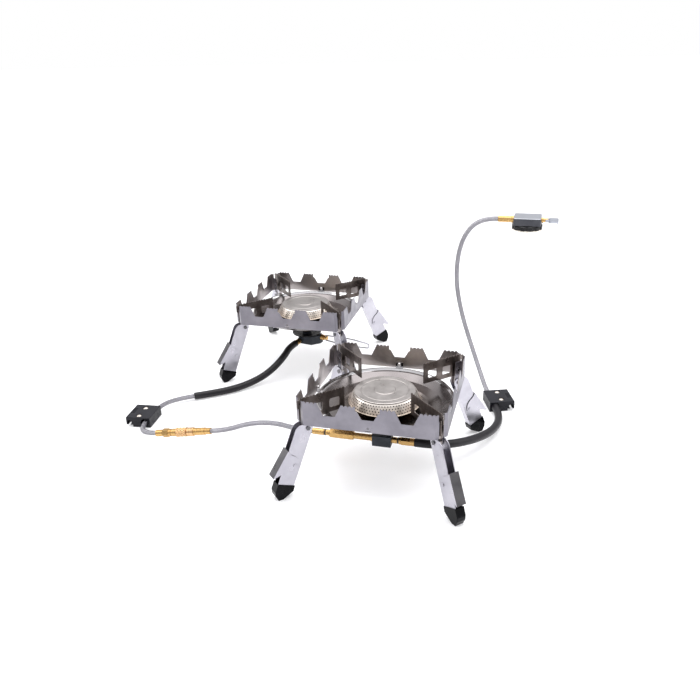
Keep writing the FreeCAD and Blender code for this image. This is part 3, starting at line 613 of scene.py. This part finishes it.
FINISHES = {
    "panel_steel": blasted_steel("panel_steel", (0.250, 0.240, 0.270), (0.190, 0.182, 0.208), 0.36,
                                 (0.52, 0.475, 0.465)),
    "support_steel": heat_dark_steel("support_steel"),
    "polished_steel": spun_pan("polished_steel"),
    "cup_steel": cup_steel("cup_steel"),
    "cap_steel": burner_cap_steel("cap_steel"),
    "burner_dark": blasted_steel("burner_dark", (0.20, 0.155, 0.125), (0.12, 0.09, 0.075), 0.42),
    "shield_black": moulded("shield_black", (0.003, 0.003, 0.004), 0.28, 900.0, 0.03,
                            Specular_IOR_Level=0.2),
    "black_block": moulded("black_block", (0.016, 0.021, 0.029), 0.45, 1500.0, 0.12,
                           Specular_IOR_Level=0.35),
    "foot_plastic": moulded("foot_plastic", (0.001, 0.001, 0.002), 0.2, 500.0, 0.05,
                            Specular_IOR_Level=0.12),
    "lever_steel": lever_sheet("lever_steel"),
    "leg_steel": blasted_steel("leg_steel", (0.56, 0.55, 0.60), (0.45, 0.44, 0.49), 0.33),
    "rivet_steel": blasted_steel("rivet_steel", (0.16, 0.155, 0.165), (0.10, 0.10, 0.11), 0.22,
                                 (0.66, 0.64, 0.64)),
    "brass": brass("brass", (0.60, 0.375, 0.145), 0.24),
    "brass_knurled": brass("brass_knurled", (0.68, 0.43, 0.22), 0.24),
    "wire_steel": blasted_steel("wire_steel", (0.56, 0.56, 0.60), (0.42, 0.42, 0.47), 0.16),
    "clip_plastic": moulded("clip_plastic", (0.006, 0.006, 0.010), 0.45, 1300.0, 0.2,
                            Specular_IOR_Level=0.25),
    "screw_steel": blasted_steel("screw_steel", (0.62, 0.58, 0.53), (0.46, 0.42, 0.38), 0.24),
    "valve_grey": valve_shell("valve_grey"),
    "collar_black": collar_with_rim("collar_black"),
    "knob_steel": blasted_steel("knob_steel", (0.50, 0.52, 0.58), (0.42, 0.44, 0.50), 0.35),
    "hose_braid": braided_wire("hose_braid"),
    "sleeve_rubber": moulded("sleeve_rubber", (0.007, 0.006, 0.008), 0.38, 900.0, 0.08,
                             Specular_IOR_Level=0.3),
}
O_RING = moulded("o_ring_rubber", (0.010, 0.010, 0.011), 0.5, 900.0, 0.1)
DARK_RIVET = blasted_steel("dark_rivet", (0.09, 0.09, 0.10), (0.04, 0.04, 0.045), 0.22)

# ---------------------------------------------------------------- hoses
feed_line = route_line(FEED_ROUTE)
link_front_line = route_line(LINK_FRONT_ROUTE)
link_rear_line = route_line(list(reversed(LINK_REAR_ROUTE)))
feed_braid = make_braid("feed_hose_braid", feed_line, "feed_hose")
link_front_braid = make_braid("link_hose_front_braid", link_front_line, "link_hose_front")
link_rear_braid = make_braid("link_hose_rear_braid", link_rear_line, "link_hose_rear")
feed_cover_route = FEED_ROUTE[:FEED_SLEEVE_RUN + 1]
feed_cover_route.append(middle(*FEED_ROUTE[FEED_SLEEVE_RUN:FEED_SLEEVE_RUN + 2]))
link_cover_route = [middle(*LINK_REAR_ROUTE[LINK_SLEEVE_RUN:LINK_SLEEVE_RUN + 2])]
link_cover_route += LINK_REAR_ROUTE[LINK_SLEEVE_RUN + 1:]
feed_cover = make_sleeve("feed_hose_cover", feed_cover_route, "feed_sleeve")
link_cover = make_sleeve("link_hose_cover", link_cover_route, "link_sleeve")

# ---------------------------------------------------------------- coupling's sliding collar
def coupling_axis():
    """The coupling's start, on the front hose's side, and its direction."""
    start = Vector(LINK_FRONT_ROUTE[-1]) / 1000
    slide = next(j for j in frame["joints"] if j["name"] == "coupling_sleeve_slide")
    return start, -Vector(slide["axis"]).normalized()


KNURLS = 9                # ridges each way round the collar
KNURL_RELIEF = 0.0008
KNURL_PITCH = 0.0043
KNURLED_FROM = 0.0326     # distances along the coupling's axis, from the front hose's end
KNURLED_TO = 0.0456
COLLAR_BORE = 0.00475
COLLAR_BARREL = 0.0055    # outer radius of the smooth part
COLLAR_GRIP = 0.0059      # and of the knurled part
COLLAR_AROUND = 112       # mesh points around it


def make_coupling_collar():
    start, axis = coupling_axis()

    def knurled(along, radius, angle):
        if not KNURLED_FROM < along < KNURLED_TO:
            return radius
        lanes = KNURLS * angle / (2 * math.pi)
        rise = (along - KNURLED_FROM) / KNURL_PITCH
        one = abs(math.sin(math.pi * (lanes + rise)))
        two = abs(math.sin(math.pi * (lanes - rise)))
        return radius - KNURL_RELIEF * (1 - min(one, two) ** 0.7)

    profile = [(0.0225, COLLAR_BORE), (0.0225, 0.0051), (0.0229, COLLAR_BARREL), (0.0308, COLLAR_BARREL),
               (0.0311, 0.0052), (0.0311, 0.0048), (0.0319, 0.0048), (0.0320, COLLAR_BARREL),
               (0.0323, COLLAR_GRIP)]
    steps = 56
    profile += [(0.0324 + 0.0133 * i / steps, COLLAR_GRIP) for i in range(steps + 1)]
    profile += [(0.0459, 0.0057), (0.0460, 0.0053), (0.0460, COLLAR_BORE)]
    mesh = lathed("coupling_collar", profile, start, axis, COLLAR_AROUND, knurled)
    return add_piece("coupling_collar_knurled", mesh, "coupling_sleeve",
                     FINISHES["brass_knurled"], ["coupling_sleeve"])


coupling_collar = make_coupling_collar()


# ---------------------------------------------------------------- seals on the gas line
def make_seal(name, centre, axis, radius, thickness):
    """A rubber O-ring, from the radius of its ring and that of its cord."""
    profile = []
    steps = 12
    for i in range(steps + 1):
        angle = math.pi * i / steps
        profile.append((-thickness * math.cos(angle), radius + thickness * math.sin(angle)))
    mesh = lathed(name, profile, centre, axis, SEAL_AROUND)
    return add_piece(name, mesh, "frame", O_RING)


SEAL_OFFSETS = {"left": -0.0723, "right": 0.0148}     # from the unit's axis, along the gas line
SEAL_R = 0.0029
SEAL_CORD_R = 0.0009
SEAL_AROUND = 40
gas_axis = Vector((1, 0, 0))
front_centre = UNIT_CENTRES["front"]
gas_z = FEED_ROUTE[0][2] / 1000
for name, offset in SEAL_OFFSETS.items():
    centre = Vector((front_centre.x + offset, front_centre.y, gas_z))
    make_seal(f"gas_line_seal_{name}", centre, gas_axis, SEAL_R, SEAL_CORD_R)

# ---------------------------------------------------------------- rivets that the levers turn on
LEVER_FACE = 0.00575      # from the leg's middle to the outside of a lever's side plate
RIVET_R = 0.0021
RIVET_BORE = 0.0013
RIVET_AROUND = 24


def make_lever_rivet(swing):
    """Both heads of a lever's hollow rivet."""
    profile = [(-0.0001, RIVET_R), (0.0003, RIVET_R), (0.00045, 0.0018), (0.00045, 0.0014),
               (0.0001, RIVET_BORE)]
    bm = bmesh.new()
    for way in (1, -1):
        axis = Vector(swing["axis"]) * way
        face = Vector(swing["pos_m"]) + axis * LEVER_FACE
        head = lathed("rivet_head", profile, face, axis, RIVET_AROUND)
        bm.from_mesh(head)
        bpy.data.meshes.remove(head)
    mesh = bpy.data.meshes.new(swing["child"] + "_rivet")
    bm.to_mesh(mesh)
    bm.free()
    add_piece(mesh.name, mesh, swing["child"], DARK_RIVET)


for joint in frame["joints"]:
    if joint["name"].endswith("lever_swing"):
        make_lever_rivet(joint)

# ---------------------------------------------------------------- the CAD nodes' finishes
for row in frame["record"]["subparts"]:
    node = nodes[row["node"]]
    node.data.materials.clear()
    node.data.materials.append(FINISHES[row["material_slot"]])


# ---------------------------------------------------------------- floor and light
FLOOR_HALF_SIZE = 12.0
FLOOR_DROP = 0.0002                     # below the feet, so that no faces coincide
FLOOR_GLOW = (0.9, 2.2, 0.3, 0.6)       # from and to these distances, between these strengths


def make_floor():
    bm = bmesh.new()
    bmesh.ops.create_grid(bm, x_segments=1, y_segments=1, size=FLOOR_HALF_SIZE)
    mesh = bpy.data.meshes.new("floor")
    bm.to_mesh(mesh)
    bm.free()
    floor = add_object("floor", mesh)
    floor.location.z = -FLOOR_DROP
    made = Finish("floor_white", (0.80, 0.80, 0.81), 0.0, 0.22)
    made.shader.inputs["Specular IOR Level"].default_value = 0.35
    made.shader.inputs["Emission Color"].default_value = (1.0, 1.0, 1.0, 1)
    distance = made.vector_maths("LENGTH", made.place)
    made.feed(made.shader.inputs["Emission Strength"], made.between(distance, *FLOOR_GLOW))
    mesh.materials.append(made.material)


def area_light(name, place, target, width, height, power):
    data = bpy.data.lights.new(name, "AREA")
    data.shape = "RECTANGLE"
    data.size = width
    data.size_y = height
    data.energy = power
    light = bpy.data.objects.new(name, data)
    bpy.context.scene.collection.objects.link(light)
    look = Vector(target) - Vector(place)
    light.matrix_world = Matrix.Translation(place) @ look.to_track_quat("-Z", "Y").to_matrix().to_4x4()


SKY = (                   # brightness of the studio by direction: share of the way up, then grey
    (0.00, 0.90), (0.46, 0.80), (0.53, 0.42), (0.62, 0.62), (0.80, 1.15), (1.00, 1.25),
)


def make_world():
    """A pale room: bright above and behind the object, with a darker band at eye level in front."""
    world = bpy.data.worlds.new("studio")
    bpy.context.scene.world = world
    world.use_nodes = True
    tree = world.node_tree
    background = tree.nodes["Background"]
    direction = tree.nodes.new("ShaderNodeTexCoord").outputs["Generated"]
    split = tree.nodes.new("ShaderNodeSeparateXYZ")
    tree.links.new(direction, split.inputs[0])
    height = tree.nodes.new("ShaderNodeMapRange")
    height.inputs["From Min"].default_value = -1.0
    tree.links.new(split.outputs[2], height.inputs["Value"])
    ramp = tree.nodes.new("ShaderNodeValToRGB")
    tree.links.new(height.outputs[0], ramp.inputs[0])
    while len(ramp.color_ramp.elements) < len(SKY):
        ramp.color_ramp.elements.new(0.5)
    for stop, (place, grey) in zip(ramp.color_ramp.elements, SKY):
        stop.position = place
        stop.color = (grey, grey, grey * 1.02, 1)
    seen = tree.nodes.new("ShaderNodeLightPath").outputs["Is Camera Ray"]
    mix = tree.nodes.new("ShaderNodeMix")
    mix.data_type = "RGBA"
    tree.links.new(seen, mix.inputs["Factor"])
    tree.links.new(ramp.outputs[0], mix.inputs[6])
    mix.inputs[7].default_value = (1.0, 1.0, 1.0, 1)
    tree.links.new(mix.outputs[2], background.inputs["Color"])
    background.inputs["Strength"].default_value = 1.0


make_floor()
make_world()
bpy.context.scene.view_settings.view_transform = "Standard"
area_light("overhead", (0.0, 0.3, 1.7), (0, 0, 0), 2.2, 1.6, 26)
area_light("left", (-1.6, -0.3, 0.9), (0, 0, 0.05), 1.2, 1.2, 9)
area_light("right", (1.6, 0.4, 0.9), (0, 0, 0.05), 1.0, 1.2, 6)
